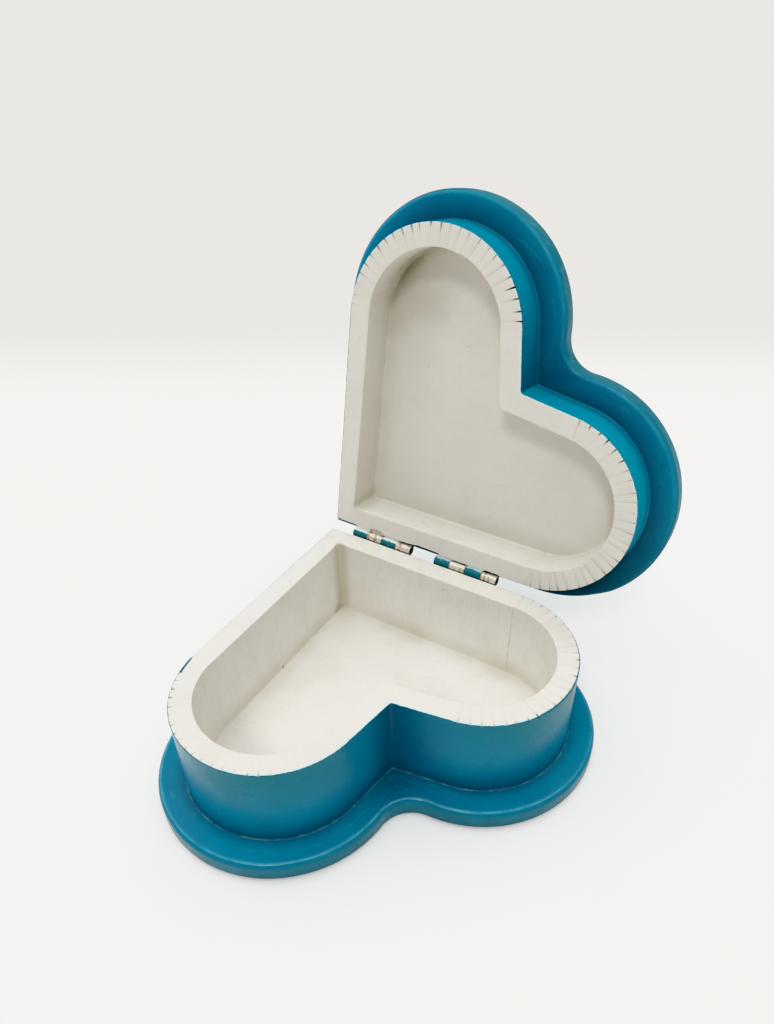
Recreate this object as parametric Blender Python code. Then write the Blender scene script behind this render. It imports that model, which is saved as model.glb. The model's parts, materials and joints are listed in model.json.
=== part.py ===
"""Heart-shaped wooden trinket box with a hinged lid, standing open.

The box stands on its heart-shaped bottom board. One straight side of the heart is the hinge
side and runs along X; the other straight side runs along Y, and the tip between them is a right
angle. The lid is modelled closed, in its pivot's own frame, and the pivot is then turned back
to the open rest position. Lengths are in metres.
"""
import math

import bmesh
import bpy
from mathutils import Matrix, Vector

# Wall outline, seen from above. Both halves are the same, mirrored in the heart's diagonal.
LOBE_RADIUS = 0.032                 # outside of the wall, round a lobe
SIDE_LENGTH = 0.081                 # tip corner to the start of the lobe
CLEFT_FLARE = math.radians(9.0)     # how far the short inner straight turns out of parallel
WALL_THICKNESS = 0.0075
LOBE_SEGMENTS = 36

# Heights
BOARD_THICKNESS = 0.008
BASE_WALL_HEIGHT = 0.032
LID_WALL_HEIGHT = 0.0142
GAP = 0.0003                        # between pieces that touch

# Boards
BOARD_OVERHANG = 0.0093             # board edge beyond the wall, all round
BOARD_CLEFT_RADIUS = 0.0115
BOARD_TIP_RADIUS = 0.006
BOARD_EDGE_RADIUS = 0.0030
BOARD_EDGE_STEPS = 3
CLEFT_SEGMENTS = 10
TIP_SEGMENTS = 6

# Hinges
HINGE_STARTS = (0.0091, 0.0450)     # along the hinge side, from the tip corner
KNUCKLE_LENGTH = 0.0061
KNUCKLE_COUNT = 4
KNUCKLE_RADIUS = 0.0018
LEAF_THICKNESS = 0.0008
LEAF_WIDTH = 0.0090                 # from the pin's axis to the leaf's far edge
PIN_RADIUS = 0.0007
PIN_RECESS = 0.0012                 # the pin stops short of the barrel's ends
PIN_SIDES = 16
ROLL_ANGLE = math.radians(318.0)
ROLL_SEGMENTS = 20
KNUCKLE_PITCH = KNUCKLE_LENGTH + GAP
HINGE_LENGTH = KNUCKLE_COUNT * KNUCKLE_PITCH - GAP
PIN_OFFSET = KNUCKLE_RADIUS + GAP   # pin axis outside the wall's outer face

# Nails
NAIL_DROP = 0.0058                  # from the pin's axis to the nail
NAIL_INSET = 0.0042                 # from the leaf's ends
NAIL_HEAD_RADIUS = 0.00135
NAIL_HEAD_HEIGHT = 0.0007
NAIL_RADIUS = 0.0006
NAIL_DEPTH = 0.0048                 # into the wood
NAIL_SIDES = 14
NAIL_DOME_STEPS = 2

OPEN_ANGLE = math.radians(102.0)    # from closed to the open rest position
SHARP_ANGLE = math.radians(38.0)    # edges sharper than this are shaded as edges
WELD_DISTANCE = 0.00001

# Places that follow from the above
CENTRE = (SIDE_LENGTH + LOBE_RADIUS) / 2.0    # the origin is under the middle of the heart
TIP = Vector((-CENTRE, CENTRE))
BASE_WALL_FLOOR = BOARD_THICKNESS + GAP
RIM_HEIGHT = BASE_WALL_FLOOR + BASE_WALL_HEIGHT
PIN_HEIGHT = RIM_HEIGHT + GAP / 2.0
PIN_Y = TIP.y + PIN_OFFSET

TEAL = (0.003, 0.155, 0.262)
CREAM = (0.80, 0.76, 0.69)
BRASS = (0.66, 0.50, 0.27)
STEEL = (0.42, 0.40, 0.37)


def clear_scene():
    for obj in list(bpy.data.objects):
        bpy.data.objects.remove(obj, do_unlink=True)


def make_material(name, colour, roughness, metallic):
    material = bpy.data.materials.new(name)
    material.use_nodes = True
    shader = material.node_tree.nodes["Principled BSDF"]
    shader.inputs["Base Color"].default_value = (*colour, 1.0)
    shader.inputs["Roughness"].default_value = roughness
    shader.inputs["Metallic"].default_value = metallic
    return material


def add_object(name, bm, materials, parent=None):
    """Put a bmesh into a new object; its faces are turned to point out."""
    bmesh.ops.recalc_face_normals(bm, faces=bm.faces)
    mesh = bpy.data.meshes.new(name)
    bm.to_mesh(mesh)
    bm.free()
    for material in materials:
        mesh.materials.append(material)
    obj = bpy.data.objects.new(name, mesh)
    bpy.context.collection.objects.link(obj)
    obj.parent = parent
    return obj


def shade_round(obj):
    """Smooth shading, with every sharp edge kept."""
    obj.data.shade_smooth()
    obj.data.set_sharp_from_angle(angle=SHARP_ANGLE)
    return obj


# ---------------------------------------------------------------- heart outlines

def arc(centre, radius, start, end, segments):
    """Points on a circular arc, both ends included."""
    points = []
    for i in range(segments + 1):
        angle = start + (end - start) * i / segments
        points.append(Vector((centre.x + radius * math.cos(angle),
                              centre.y + radius * math.sin(angle))))
    return points


def mirrored(point):
    """Reflect a point in the heart's diagonal, which is the line y = -x."""
    return Vector((-point.y, -point.x))


def wall_path(inset):
    """Hinge-side half of the wall's outline, moved in by inset, from tip mitre to cleft mitre.

    The side is straight to the lobe's start, the lobe is an arc round one centre, and the last
    stretch is the arc's tangent, up to the diagonal. Both ends stop half a gap from the diagonal.
    """
    setback = GAP / math.sqrt(2.0)
    centre = TIP + Vector((SIDE_LENGTH, -LOBE_RADIUS))
    end_angle = -math.pi / 2.0 + CLEFT_FLARE
    lobe = arc(centre, LOBE_RADIUS - inset, math.pi / 2.0, end_angle, LOBE_SEGMENTS)
    tip = TIP + Vector((inset + setback, -inset))
    direction = Vector((math.sin(end_angle), -math.cos(end_angle)))
    run = (setback - (lobe[-1].x + lobe[-1].y)) / (direction.x + direction.y)
    return [tip] + lobe + [lobe[-1] + direction * run]


def board_outline(inset):
    """Closed outline of a board, moved in by inset, starting on the hinge side.

    Each lobe is an arc concentric with the wall's; a hollow arc touches both lobes in the cleft,
    and a small arc rounds the tip.
    """
    overhang = BOARD_OVERHANG - inset
    lobe_radius = LOBE_RADIUS + overhang
    cleft_radius = BOARD_CLEFT_RADIUS + inset
    tip_radius = BOARD_TIP_RADIUS - inset
    lobe_centre = TIP + Vector((SIDE_LENGTH, -LOBE_RADIUS))
    # The hollow arc's centre is on the diagonal, both radii away from the lobe's centre.
    along = (lobe_centre.x - lobe_centre.y) / 2.0
    across = (lobe_centre.x + lobe_centre.y) / 2.0
    reach = math.sqrt(((lobe_radius + cleft_radius) ** 2 - 2.0 * across ** 2) / 2.0)
    cleft_centre = Vector((along + reach, -along - reach))
    touch = math.atan2(cleft_centre.y - lobe_centre.y, cleft_centre.x - lobe_centre.x)
    lobe = arc(lobe_centre, lobe_radius, math.pi / 2.0, touch, LOBE_SEGMENTS)
    half_hollow = -math.pi / 4.0 + math.pi
    hollow = arc(cleft_centre, cleft_radius, touch + math.pi, half_hollow, CLEFT_SEGMENTS // 2)
    tip_centre = TIP + Vector((tip_radius - overhang, overhang - tip_radius))
    tip = arc(tip_centre, tip_radius, math.pi * 0.75, math.pi / 2.0, TIP_SEGMENTS // 2)
    half = tip[1:] + lobe + hollow[1:]
    other = [mirrored(point) for point in reversed(half[:-1])]
    return half + other + [tip[0]]


# ---------------------------------------------------------------- boards

def board_profile():
    """Inset and height of each ring of a board's rounded edge, bottom to top."""
    rings = []
    for i in range(BOARD_EDGE_STEPS + 1):
        turn = math.pi / 2.0 * i / BOARD_EDGE_STEPS
        rings.append((BOARD_EDGE_RADIUS * (1.0 - math.sin(turn)),
                      BOARD_EDGE_RADIUS * (1.0 - math.cos(turn))))
    return rings + [(inset, BOARD_THICKNESS - height) for inset, height in reversed(rings)]


def make_board(name, floor, material, parent=None, origin=Vector((0.0, 0.0, 0.0))):
    """A heart board: its edge profile is carried round the outline, and both faces are closed."""
    bm = bmesh.new()
    rings = []
    for inset, height in board_profile():
        ring = []
        for point in board_outline(inset):
            ring.append(bm.verts.new(Vector((point.x, point.y, floor + height)) - origin))
        rings.append(ring)
    for low, high in zip(rings, rings[1:]):
        for i in range(len(low)):
            j = (i + 1) % len(low)
            bm.faces.new((low[i], low[j], high[j], high[i]))
    bm.faces.new(rings[0])
    bm.faces.new(rings[-1])
    return shade_round(add_object(name, bm, [material], parent))


# ---------------------------------------------------------------- walls

def make_wall(name, floor, height, side, materials, parent=None, origin=Vector((0.0, 0.0, 0.0))):
    """One bent strip: the band between the outer and inner outlines, extruded upwards.

    side is +1 for the hinge-side half and -1 for its mirror image. The outer faces take the
    first material, and the inner faces, rim and ends take the second.
    """
    outer = wall_path(0.0)
    inner = wall_path(WALL_THICKNESS)
    if side < 0:
        outer = [mirrored(point) for point in outer]
        inner = [mirrored(point) for point in inner]
    loop = outer + list(reversed(inner))
    bm = bmesh.new()
    low = [bm.verts.new(Vector((p.x, p.y, floor)) - origin) for p in loop]
    high = [bm.verts.new(Vector((p.x, p.y, floor + height)) - origin) for p in loop]
    for i in range(len(loop)):
        j = (i + 1) % len(loop)
        face = bm.faces.new((low[i], low[j], high[j], high[i]))
        face.material_index = 0 if i < len(outer) - 1 else 1
    # The two flat faces are strips of quads between the outlines.
    last = len(loop) - 1
    for i in range(len(outer) - 1):
        for ring in (low, high):
            face = bm.faces.new((ring[i], ring[i + 1], ring[last - i - 1], ring[last - i]))
            face.material_index = 1
    return shade_round(add_object(name, bm, materials, parent))


# ---------------------------------------------------------------- hinges

def leaf_columns(first):
    """Stretches along the hinge, as (start, end, has a knuckle). first is 0 or 1."""
    columns = []
    edge = 0.0
    for i in range(first, KNUCKLE_COUNT, 2):
        start = i * KNUCKLE_PITCH
        if start > edge:
            columns.append((edge, start, False))
        columns.append((start, start + KNUCKLE_LENGTH, True))
        edge = start + KNUCKLE_LENGTH
    if edge < HINGE_LENGTH:
        columns.append((edge, HINGE_LENGTH, False))
    return columns


def leaf_section():
    """Stations of the leaf's sheet, as pairs of (y, z) points on its back and front faces.

    The flat leaf comes first, from its far edge to the knuckle, and then the roll round the pin.
    Returns the stations and the number that a stretch without a knuckle has.
    """
    back = -KNUCKLE_RADIUS
    front = back + LEAF_THICKNESS
    notch = -(KNUCKLE_RADIUS + GAP)
    stations = [((back, -LEAF_WIDTH), (front, -LEAF_WIDTH)), ((back, notch), (front, notch))]
    flat_count = len(stations)
    bore = KNUCKLE_RADIUS - LEAF_THICKNESS
    for i in range(ROLL_SEGMENTS + 1):
        angle = math.pi - ROLL_ANGLE * i / ROLL_SEGMENTS
        cosine = math.cos(angle)
        sine = math.sin(angle)
        stations.append(((KNUCKLE_RADIUS * cosine, KNUCKLE_RADIUS * sine),
                         (bore * cosine, bore * sine)))
    return stations, flat_count


def make_leaf(name, start_x, first, up, material, parent, origin):
    """A hinge leaf in one piece: a sheet with thickness, notched where the other leaf's knuckles are.

    up is +1 for the base's leaf, which hangs below the pin, and -1 for the lid's, its mirror image.
    """
    stations, flat_count = leaf_section()
    columns = leaf_columns(first)
    bm = bmesh.new()
    corners = {}

    def corner(x, station, face_side):
        key = (round(x, 7), station, face_side)
        if key not in corners:
            y, z = stations[station][face_side]
            place = Vector((start_x + x, PIN_Y + y, PIN_HEIGHT + z * up))
            corners[key] = bm.verts.new(place - origin)
        return corners[key]

    cells = set()
    for number, (_, _, knuckle) in enumerate(columns):
        for station in range(len(stations) - 1 if knuckle else flat_count - 1):
            cells.add((number, station))
    for number, station in cells:
        left, right, _ = columns[number]
        for face_side in (0, 1):
            bm.faces.new((corner(left, station, face_side), corner(right, station, face_side),
                          corner(right, station + 1, face_side),
                          corner(left, station + 1, face_side)))
        edges = (((number - 1, station), (left, station), (left, station + 1)),
                 ((number + 1, station), (right, station), (right, station + 1)),
                 ((number, station - 1), (left, station), (right, station)),
                 ((number, station + 1), (left, station + 1), (right, station + 1)))
        for neighbour, one, two in edges:
            if neighbour not in cells:
                bm.faces.new((corner(*one, 0), corner(*two, 0), corner(*two, 1), corner(*one, 1)))
    return shade_round(add_object(name, bm, [material], parent))


def make_rod(name, start, end, radius, sides, material, parent=None):
    """A round bar between two points."""
    bm = bmesh.new()
    axis = end - start
    turn = axis.to_track_quat("Z", "Y").to_matrix().to_4x4()
    place = Matrix.Translation((start + end) / 2.0) @ turn
    bmesh.ops.create_cone(bm, cap_ends=True, segments=sides, radius1=radius, radius2=radius,
                          depth=axis.length, matrix=place)
    return shade_round(add_object(name, bm, [material] if material else [], parent))


def make_nail(name, place, material, parent):
    """A round-head nail driven in along -Y: its shank and low domed head turned in one piece."""
    face = -KNUCKLE_RADIUS + LEAF_THICKNESS + GAP
    tip = -PIN_OFFSET - NAIL_DEPTH
    profile = [(0.0, tip), (NAIL_RADIUS, tip + NAIL_RADIUS), (NAIL_RADIUS, face)]
    for i in range(NAIL_DOME_STEPS):
        turn = math.pi / 2.0 * i / NAIL_DOME_STEPS
        profile.append((NAIL_HEAD_RADIUS * math.cos(turn), face + NAIL_HEAD_HEIGHT * math.sin(turn)))
    profile.append((0.0, face + NAIL_HEAD_HEIGHT))
    bm = bmesh.new()
    verts = [bm.verts.new((place.x + radius, place.y + along, place.z))
             for radius, along in profile]
    edges = [bm.edges.new(pair) for pair in zip(verts, verts[1:])]
    bmesh.ops.spin(bm, geom=verts + edges, cent=place, axis=(0.0, 1.0, 0.0),
                   angle=2.0 * math.pi, steps=NAIL_SIDES, use_duplicate=False)
    bmesh.ops.remove_doubles(bm, verts=bm.verts, dist=WELD_DISTANCE)
    return shade_round(add_object(name, bm, [material], parent))


def drill(obj, cutter):
    cutter.hide_render = True
    cutter.display_type = "WIRE"
    cut = obj.modifiers.new("hole_" + cutter.name, "BOOLEAN")
    cut.operation = "DIFFERENCE"
    cut.solver = "EXACT"
    cut.object = cutter


def make_hinge(label, start, pivot, walls, materials):
    """One butt hinge with its pin and nails. walls are the base's and the lid's hinge-side strips."""
    start_x = TIP.x + start
    hole_radius = NAIL_RADIUS + GAP
    sides = (("base", 0, 1, None, Vector((0.0, 0.0, 0.0)), walls[0], materials["painted"]),
             ("lid", 1, -1, pivot, Vector(pivot.location), walls[1], materials["brass"]))
    for part, first, up, parent, origin, wall, material in sides:
        leaf = make_leaf(f"hinge_{label}_{part}_leaf", start_x, first, up, material, parent, origin)
        for number, inset in enumerate((NAIL_INSET, HINGE_LENGTH - NAIL_INSET), 1):
            place = Vector((start_x + inset, PIN_Y, PIN_HEIGHT - NAIL_DROP * up)) - origin
            make_nail(f"hinge_{label}_{part}_nail_{number}", place, materials["nail"], parent)
            cutter = make_rod(f"cutter_{label}_{part}_{number}",
                              place + Vector((0.0, KNUCKLE_RADIUS, 0.0)),
                              place - Vector((0.0, PIN_OFFSET + NAIL_DEPTH + GAP, 0.0)),
                              hole_radius, NAIL_SIDES, None, parent)
            drill(leaf, cutter)
            drill(wall, cutter)
    make_rod(f"hinge_{label}_pin", Vector((start_x + PIN_RECESS, PIN_Y, PIN_HEIGHT)),
             Vector((start_x + HINGE_LENGTH - PIN_RECESS, PIN_Y, PIN_HEIGHT)),
             PIN_RADIUS, PIN_SIDES, materials["nail"])


# ---------------------------------------------------------------- the box

def main():
    clear_scene()
    teal = make_material("teal_paint", TEAL, 0.38, 0.0)
    cream = make_material("cream_paint", CREAM, 0.62, 0.0)
    hinge_materials = {"painted": make_material("teal_painted_brass", TEAL, 0.35, 0.3),
                       "brass": make_material("bare_brass", BRASS, 0.32, 1.0),
                       "nail": make_material("nail_steel", STEEL, 0.40, 1.0)}

    make_board("base_board", 0.0, teal)
    make_wall("base_wall_left", BASE_WALL_FLOOR, BASE_WALL_HEIGHT, -1, [teal, cream])
    base_wall = make_wall("base_wall_right", BASE_WALL_FLOOR, BASE_WALL_HEIGHT, 1, [teal, cream])

    pivot = bpy.data.objects.new("lid_pivot", None)
    bpy.context.collection.objects.link(pivot)
    pivot.location = (0.0, PIN_Y, PIN_HEIGHT)
    origin = Vector(pivot.location)
    lid_rim = RIM_HEIGHT + GAP
    lid_board_floor = lid_rim + LID_WALL_HEIGHT + GAP
    make_wall("lid_wall_left", lid_rim, LID_WALL_HEIGHT, -1, [teal, cream], pivot, origin)
    lid_wall = make_wall("lid_wall_right", lid_rim, LID_WALL_HEIGHT, 1, [teal, cream], pivot, origin)
    make_board("lid_board", lid_board_floor, teal, pivot, origin)

    for label, start in zip(("left", "right"), HINGE_STARTS):
        make_hinge(label, start, pivot, (base_wall, lid_wall), hinge_materials)
    pivot.rotation_euler = (-OPEN_ANGLE, 0.0, 0.0)


main()
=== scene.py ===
"""A heart-shaped wooden trinket box standing open, painted teal outside and cream inside.

The boards, the kerf-bent wall strips and the hinge leaves are surfaces worked out on grids, in
metres, in the frame's own place. Lid pieces are worked out closed and then turned open about the
hinge pin, as the frame has them.
"""

import json
import math

import bpy
import numpy as np
from mathutils import Matrix, Vector


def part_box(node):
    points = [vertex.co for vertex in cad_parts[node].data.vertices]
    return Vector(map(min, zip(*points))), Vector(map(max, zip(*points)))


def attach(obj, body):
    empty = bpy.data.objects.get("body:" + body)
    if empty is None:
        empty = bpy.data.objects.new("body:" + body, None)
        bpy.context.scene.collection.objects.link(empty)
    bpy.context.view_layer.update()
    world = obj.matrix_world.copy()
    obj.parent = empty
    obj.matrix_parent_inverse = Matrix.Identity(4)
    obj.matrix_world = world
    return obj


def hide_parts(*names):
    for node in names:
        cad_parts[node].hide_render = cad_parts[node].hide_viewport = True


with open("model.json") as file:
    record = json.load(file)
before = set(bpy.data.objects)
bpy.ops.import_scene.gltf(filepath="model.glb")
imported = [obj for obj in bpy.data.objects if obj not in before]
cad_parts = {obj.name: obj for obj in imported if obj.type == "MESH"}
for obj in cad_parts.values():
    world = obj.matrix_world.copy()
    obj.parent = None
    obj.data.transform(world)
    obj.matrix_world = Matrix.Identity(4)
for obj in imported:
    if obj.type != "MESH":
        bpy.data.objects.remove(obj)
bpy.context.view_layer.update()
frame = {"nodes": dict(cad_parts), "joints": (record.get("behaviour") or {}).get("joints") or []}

# ---------------------------------------------------------------- sizes, in metres

# Wall outline, as the frame has it: a straight side, a round lobe and a flared straight
LOBE_RADIUS = 0.032
SIDE_LENGTH = 0.081
FLARE = math.radians(9.0)
WALL = 0.0075
LOBE_SWEEP = math.pi - FLARE
INNER_FACE = WALL - 0.0001      # rows further in than this are on the wall's inner face

# Corners of the walls, as rounding radii on the outer and the inner face
TIP_ROUNDING = (0.0012, 0.0015)
CLEFT_ROUNDING = (0.0013, 0.0022)
RIM_ROUNDING = 0.00035
FOOT_FILLET = 0.00045
FOOT_ROWS_END = FOOT_FILLET + 0.0001

# Boards
BOARD_TIP_RADIUS = 0.006
BOARD_CLEFT_RADIUS = 0.0115
BOARD_TOP_ROUNDING = 0.0019
BOARD_FOOT_ROUNDING = 0.002
HINGE_EDGE_PLANED = 0.0006      # taken off the lid board's hinge edge
FACE_ROWS = 34                  # grid rows of a flat face, from its middle to the rounding
ARC_ROWS = 10                   # grid rows of a rounded edge
FIRST_ARC = FACE_ROWS - 1       # row where the lower rounding starts
SECOND_ARC = FACE_ROWS + ARC_ROWS + 1

# Hinges
KNUCKLE_RADIUS = 0.0018
LEAF_THICKNESS = 0.0008
KNUCKLE_COUNT = 4
KNUCKLE_GAP = 0.0003
ROLL = math.radians(322.0)
KNUCKLE_SWELL = 0.00008         # how far each knuckle spreads into the gap beside it
ROLL_SPRING = 0.0001            # how far the roll's free edge springs open
BROWN_BAND_WIDTH = 0.00045
LIP_THICKNESS = 0.00012
LIP_DROP = -0.00003
NAIL_HEAD_RADIUS = 0.00135
NAIL_HEAD_HEIGHT = 0.0007
NAIL_RADIUS = 0.0006

# Saw kerfs round the lobes
KERF_COUNT = 26
KERF_LENGTH = 0.0027
KERF_WIDTH = 0.00068
KERF_DEPTH = 0.001
SCORE_DEPTH = 0.00016           # the kerf's thin line right across the rim
GROOVE_WIDTH = 0.00062          # the soft hollow where paint has sunk into a kerf
GROOVE_DEPTH = 0.00019
CRACK_REACH = 0.0016            # share of the lobe on each side of the open seam
CRACK_DEPTH = 0.0003

# Way the camera faces, turned from +Y towards -X
HEADING = math.radians(30.38)

# Places from the frame
TIP_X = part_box("base_wall_left")[0].x
TIP_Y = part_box("base_wall_right")[1].y
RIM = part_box("base_wall_right")[1].z
BOARD_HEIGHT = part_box("base_board")[1].z
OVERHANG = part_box("base_board")[1].y - TIP_Y
LOBE_X = TIP_X + SIDE_LENGTH
LOBE_Y = TIP_Y - LOBE_RADIUS
CLEFT_X = ((LOBE_RADIUS + LOBE_X * math.sin(FLARE) - LOBE_Y * math.cos(FLARE))
           / (math.cos(FLARE) + math.sin(FLARE)))
PIN = np.array(frame["joints"][0]["pos_m"])
OPEN_ANGLE = math.radians(frame["joints"][0]["range_deg"][1])
LID_RIM = 2.0 * PIN[2] - RIM
LID_WALL_HEIGHT = 0.0145        # lid rim to the lid board, closed
SPECK = (TIP_X + WALL, TIP_Y - 0.595 * SIDE_LENGTH, BOARD_HEIGHT + 0.0006)
KNOT = (TIP_X + WALL, TIP_Y - WALL - 0.0035, BOARD_HEIGHT + 0.001)


# ---------------------------------------------------------------- grids and meshes

spread = np.linspace


def chained(*stretches):
    """Several runs of numbers as one, without the repeated value where two runs meet."""
    return np.concatenate([stretches[0]] + [run[1:] for run in stretches[1:]])


def section(*runs):
    """Rows of a section from runs of coordinates, each starting where the one before ends."""
    return [chained(*parts) for parts in zip(*[np.broadcast_arrays(*run) for run in runs])]


def placed(*coordinates):
    """Points from their coordinates, which spread over the same rows and columns."""
    return np.stack(np.broadcast_arrays(*coordinates), -1)


def unit(value):
    """Hold a value between 0 and 1."""
    return np.clip(value, 0.0, 1.0)


def bell(value, middle, width):
    """1 at the middle, falling away on both sides as exp(-(distance / width)^2)."""
    return np.exp(-((value - middle) / width) ** 2)


def ripple(x, y, z, size):
    """A slow unevenness between -1 and 1, as three crossed waves about size apart."""
    k = 2.0 * math.pi / size
    return (np.sin(k * (0.83 * x + 0.41 * y + 0.35 * z) + 1.3)
            + np.sin(k * (-0.57 * x + 0.92 * y - 0.28 * z) + 4.1)
            + np.sin(k * (0.31 * x - 0.44 * y + 0.97 * z) + 2.2)) / 3.0


def distance_along(x, y):
    """Distance from the first of a line of places to each of them."""
    return np.append(0.0, np.cumsum(np.hypot(np.diff(x), np.diff(y))))


def opened(points):
    """Turn closed-lid points open about the pin: a rotation in the YZ plane by the open angle."""
    x, across, up = np.moveaxis(np.array(points) - PIN * (0.0, 1.0, 1.0), -1, 0)
    cosine, sine = math.cos(OPEN_ANGLE), math.sin(OPEN_ANGLE)
    return placed(x, PIN[1] + across * cosine + up * sine, PIN[2] - across * sine + up * cosine)


def grid_faces(rows, columns, wrap_rows=False, wrap_columns=False, flip=False):
    """Quads of a grid whose vertex at (row, column) is row * columns + column."""
    row = np.arange(rows if wrap_rows else rows - 1)
    column = np.arange(columns if wrap_columns else columns - 1)
    row, column = np.meshgrid(row, column, indexing="ij")
    next_row, next_column = (row + 1) % rows, (column + 1) % columns
    corners = [row * columns + column, row * columns + next_column,
               next_row * columns + next_column, next_row * columns + column]
    if flip:
        corners.reverse()
    return np.stack(corners, -1).reshape(-1, 4)


def strip_faces(rows, columns, flip):
    """Faces of a closed section carried along a path, with one face over each end."""
    ends = [(np.arange(rows) * columns + column).tolist() for column in (0, columns - 1)]
    ends[0 if flip else 1].reverse()
    return grid_faces(rows, columns, wrap_rows=True, flip=flip).tolist() + ends


def closed_rings(rings, first, last):
    """Points and faces of a stack of rings; first and last are 1 where that ring is one point."""
    inside = rings[first:len(rings) - last]
    rows, columns = inside.shape[:2]
    here = np.arange(columns)
    beside = (here + 1) % columns
    points = [inside.reshape(-1, 3)]
    faces = grid_faces(rows, columns, wrap_columns=True, flip=True).tolist()
    far, pole = (rows - 1) * columns, rows * columns
    if first:
        points.append(rings[0, :1])
        faces += np.stack([here * 0 + pole, here, beside], -1).tolist()
    if last:
        points.append(rings[-1, :1])
        faces += np.stack([here * 0 + pole + first, far + beside, far + here], -1).tolist()
    return np.concatenate(points), faces


def turned(radius, height, count):
    """Points and faces of an outline turned about the Z axis, closed where it ends on the axis."""
    radius, height = [values[:, None] for values in np.broadcast_arrays(radius, height)]
    angle = spread(0.0, 2.0 * math.pi, count + 1)[:-1]
    rings = placed(radius * np.cos(angle), radius * np.sin(angle), height)
    return closed_rings(rings, *[int(radius[end, 0] < 1e-9) for end in (0, -1)])


def make_piece(name, points, faces, material, uv=None, sharp=45.0, **values):
    """Mesh object from points (n, 3) and a list of faces; uv and values are given per point."""
    mesh = bpy.data.meshes.new(name)
    mesh.from_pydata(points.reshape(-1, 3).tolist(), [], [list(map(int, f)) for f in faces])
    for label, value in values.items():
        attribute = mesh.attributes.new(label, "FLOAT", "POINT")
        attribute.data.foreach_set("value", np.ravel(value).astype(np.float32))
    if uv is not None:
        corner = np.empty(len(mesh.loops), np.int32)
        mesh.loops.foreach_get("vertex_index", corner)
        layer = mesh.uv_layers.new(name="surface")
        layer.data.foreach_set("uv", uv.reshape(-1, 2)[corner].astype(np.float32).ravel())
    mesh.materials.append(material)
    mesh.shade_smooth()
    mesh.set_sharp_from_angle(angle=math.radians(sharp))
    mesh.update()
    piece = bpy.data.objects.new(name, mesh)
    bpy.context.scene.collection.objects.link(piece)
    return piece


def stand_for(piece, body, slot, *nodes):
    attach(piece, body)
    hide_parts(*nodes)


# ---------------------------------------------------------------- mixing paints and metals

class Mix:
    """A finish being mixed: each call adds a node to its material and gives the node's output."""

    def __init__(self, name):
        self.material = bpy.data.materials.new(name)
        self.material.use_nodes = True
        self.tree = self.material.node_tree
        self.place = self.put("TexCoord", {}, "Object")

    def feed(self, node, inputs):
        """Link each input that is given as a socket, and set any other."""
        for key, value in inputs.items():
            if isinstance(value, bpy.types.NodeSocket):
                self.tree.links.new(value, node.inputs[key])
            else:
                node.inputs[key].default_value = value

    def put(self, kind, inputs, result=0, **settings):
        node = self.tree.nodes.new(f"ShaderNode{kind}")
        for key, value in settings.items():
            setattr(node, key, value)
        self.feed(node, inputs)
        return node.outputs[result]

    def calc(self, operation, first, second):
        return self.put("Math", {0: first, 1: second}, operation=operation)

    def add(self, first, second):
        return self.calc("ADD", first, second)

    def less(self, first, second):
        return self.calc("SUBTRACT", first, second)

    def most(self, first, second):
        return self.calc("MAXIMUM", first, second)

    def times(self, product, *values):
        for value in values:
            product = self.calc("MULTIPLY", product, value)
        return product

    def vector(self, operation, first, second, result=0):
        """Sum or product of two vectors; result 1 is a distance or a dot product."""
        return self.put("VectorMath", {0: first, 1: second}, result, operation=operation)

    def between(self, share, first, second):
        """Number from first at share 0 to second at share 1."""
        return self.put("Mix", {0: share, 2: first, 3: second})

    def blend(self, share, *colours):
        """Colour from the first at share 0 to the second at share 1."""
        first, second = [colour if isinstance(colour, bpy.types.NodeSocket) else (*colour, 1.0)
                         for colour in colours]
        return self.put("Mix", {0: share, 6: first, 7: second}, 2, data_type="RGBA")

    def coats(self, colour, *layers):
        """Lay coats over a colour in turn; a coat is its colour after the shares it multiplies."""
        for *shares, layer in layers:
            colour = self.blend(self.times(*shares), colour, layer)
        return colour

    def ease(self, value, low, high, start=0.0, end=1.0):
        """Smooth step from start at low to end at high."""
        return self.put("MapRange", {0: value, 1: low, 2: high, 3: start, 4: end},
                        interpolation_type="SMOOTHSTEP")

    def grain(self, size, stretch=(1.0, 1.0, 1.0), detail=3.0, roughness=0.55, place=None):
        """Noise about 0.5 whose features are about size metres across, drawn out by stretch."""
        place = self.place if place is None else place
        scaled = self.put("Mapping", {"Vector": place, "Scale": stretch})
        return self.put("TexNoise", {"Vector": scaled, "Scale": 1.0 / size, "Detail": detail,
                                     "Roughness": roughness})

    def mottle(self, size, low, high, start=0.0, end=1.0, **how):
        """Patches of grain, eased from start where it is low to end where it is high."""
        return self.ease(self.grain(size, **how), low, high, start, end)

    def read(self, label):
        return self.put("Attribute", {}, "Fac", attribute_name=label)

    def finish(self, inputs, relief=None, height=0.0):
        """Feed the shader, with a bump that stands height metres where the relief is 1."""
        if relief is not None:
            inputs["Normal"] = self.put("Bump", {"Height": relief, "Distance": height})
        self.feed(self.tree.nodes["Principled BSDF"], inputs)
        return self.material


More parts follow.
